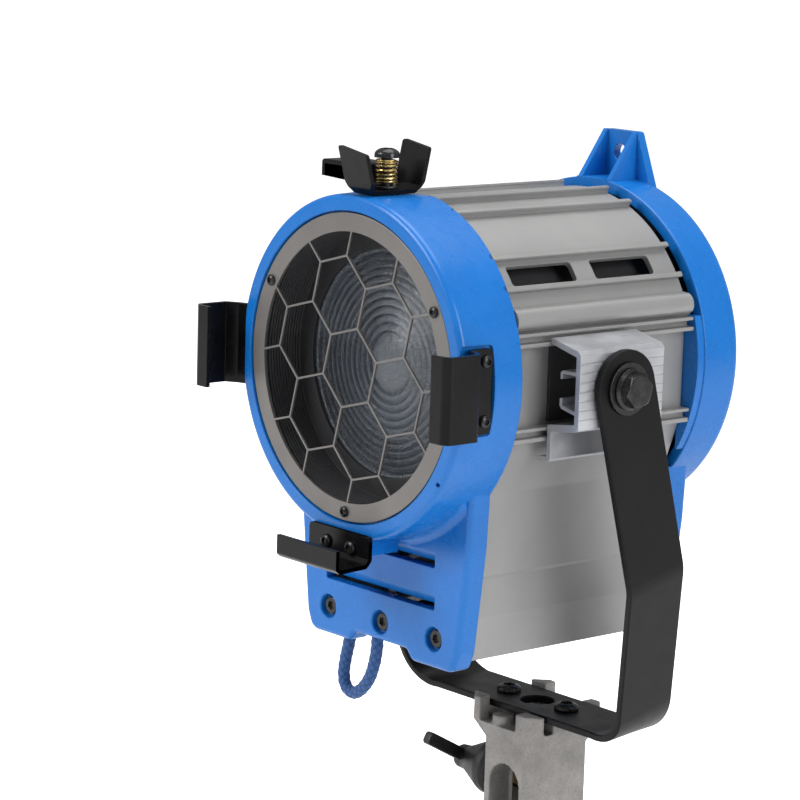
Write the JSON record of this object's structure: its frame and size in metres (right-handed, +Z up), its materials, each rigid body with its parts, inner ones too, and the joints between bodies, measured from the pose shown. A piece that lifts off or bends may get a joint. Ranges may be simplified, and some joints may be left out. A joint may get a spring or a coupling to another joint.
{
  "type": "fresnel spotlight",
  "caption": "Focusing fresnel spotlight with ribbed housing, mesh guard, spring latch, accessory ears and a tilting yoke bolted to a stand socket.",
  "frame": {"origin": "centre of the stand socket's mouth, on its bottom face", "axes": "+Z up along the socket's bore, -Y the way the lens faces, +X the side of the plain pivot bolt"},
  "size_m": [0.1717, 0.1526, 0.2807],
  "materials": {
    "blue_enamel": "smooth gloss enamel on cast aluminium",
    "satin_aluminium": "satin anodised extrusion",
    "bright_aluminium": "bright raw extrusion",
    "ring_steel": "warm grey brushed sheet",
    "black_enamel": "satin black enamel on steel",
    "black_steel": "blackened steel",
    "zinc_steel": "zinc plated",
    "spring_brass": "bright wire",
    "rough_casting": "rough sand casting, unpainted",
    "lens_glass": "pressed borosilicate",
    "ceramic": "glazed steatite",
    "reflector_mirror": "polished",
    "blue_braid": "braided cord",
    "black_plastic": "moulded"
  },
  "bodies": {
    "stand": {"stand_socket": "rough_casting", "yoke": "black_enamel", "yoke_screw_left": "black_steel", "yoke_screw_right": "black_steel"},
    "clamp_pad": {"clamp_pad": "spring_brass"},
    "clamp_screw": {"clamp_screw": "black_enamel"},
    "tilt_lock_lever": {"tilt_lock_lever": "black_plastic"},
    "latch_washer": {"latch_washer": "black_steel"},
    "top_latch": {"top_latch": "black_enamel"},
    "focus_drive": {"focus_spindle": "zinc_steel", "focus_knob": "black_plastic"},
    "lamp_carriage": {"lamp_carriage": "zinc_steel", "lamp_holder": "ceramic", "halogen_lamp": "lens_glass", "reflector": "reflector_mirror"},
    "head": {"front_casting": "blue_enamel", "rear_casting": "blue_enamel", "top_shell": "satin_aluminium", "right_shell": "satin_aluminium", "left_shell": "satin_aluminium", "bottom_pan": "satin_aluminium", "guard_ring": "ring_steel", "ring_screw_1": "black_steel", "ring_screw_2": "black_steel", "ring_screw_3": "black_steel", "light_baffle": "black_enamel", "fresnel_lens": "lens_glass", "lens_retainer": "zinc_steel", "inner_shield": "black_enamel", "ear_right": "black_enamel", "ear_left": "black_enamel", "ear_screw_right_upper": "black_steel", "ear_screw_right_lower": "black_steel", "ear_screw_left_upper": "black_steel", "ear_screw_left_lower": "black_steel", "bottom_bracket": "black_enamel", "bracket_screw_left": "black_steel", "bracket_screw_right": "black_steel", "foot_screw_left": "black_steel", "foot_screw_centre": "black_steel", "foot_screw_right": "black_steel", "rear_screw_1": "black_steel", "rear_screw_2": "black_steel", "rear_screw_3": "black_steel", "latch_screw": "black_steel", "latch_spring": "spring_brass", "bracket_liner_right": "black_enamel", "bracket_liner_left": "black_enamel", "side_bracket_right": "bright_aluminium", "side_bracket_left": "bright_aluminium", "pivot_bolt_right": "black_steel", "pivot_washer_right": "black_steel", "pivot_washer_left": "black_steel", "pivot_stud_left": "zinc_steel", "guide_rod_left": "zinc_steel", "guide_rod_right": "zinc_steel", "cable_gland": "black_plastic", "pull_loop": "blue_braid"}
  },
  "joints": [
    {"name": "head_tilt", "type": "hinge", "parent": "stand", "child": "head", "pos_m": [0, -0.0352, 0.203], "axis": [1, 0, 0], "range_deg": [-90, 90]},
    {"name": "tilt_lock", "type": "hinge", "parent": "head", "child": "tilt_lock_lever", "pos_m": [-0.08, -0.0352, 0.203], "axis": [1, 0, 0], "range_deg": [-75, 30]},
    {"name": "latch_lift", "type": "slide", "parent": "head", "child": "latch_washer", "axis": [0, 0, 1], "range_m": [0, 0.003], "stiffness_N_per_m": 800, "springref_m": -0.003, "deforming": ["latch_spring"]},
    {"name": "latch_swivel", "type": "hinge", "parent": "latch_washer", "child": "top_latch", "pos_m": [0, -0.08, 0.2628], "axis": [0, 0, 1], "range_deg": [-90, 90]},
    {"name": "focus_turn", "type": "hinge", "parent": "head", "child": "focus_drive", "pos_m": [0, 0.0268, 0.121], "axis": [0, 1, 0], "range_deg": [-136, 856]},
    {"name": "lamp_slide", "type": "slide", "parent": "head", "child": "lamp_carriage", "axis": [0, 1, 0], "range_m": [-0.038, 0.006]},
    {"name": "clamp_advance", "type": "slide", "parent": "stand", "child": "clamp_pad", "axis": [1, 0, 0], "range_m": [-0.0005, 0.0012]},
    {"name": "clamp_turn", "type": "hinge", "parent": "clamp_pad", "child": "clamp_screw", "pos_m": [-0.02, 0, 0.0415], "axis": [1, 0, 0], "range_deg": [-145, 347]}
  ],
  "couplings": [
    {"joint": "focus_turn", "follows": "lamp_slide", "rad_per_m": -392.7},
    {"joint": "clamp_turn", "follows": "clamp_advance", "rad_per_m": 5026.5}
  ]
}
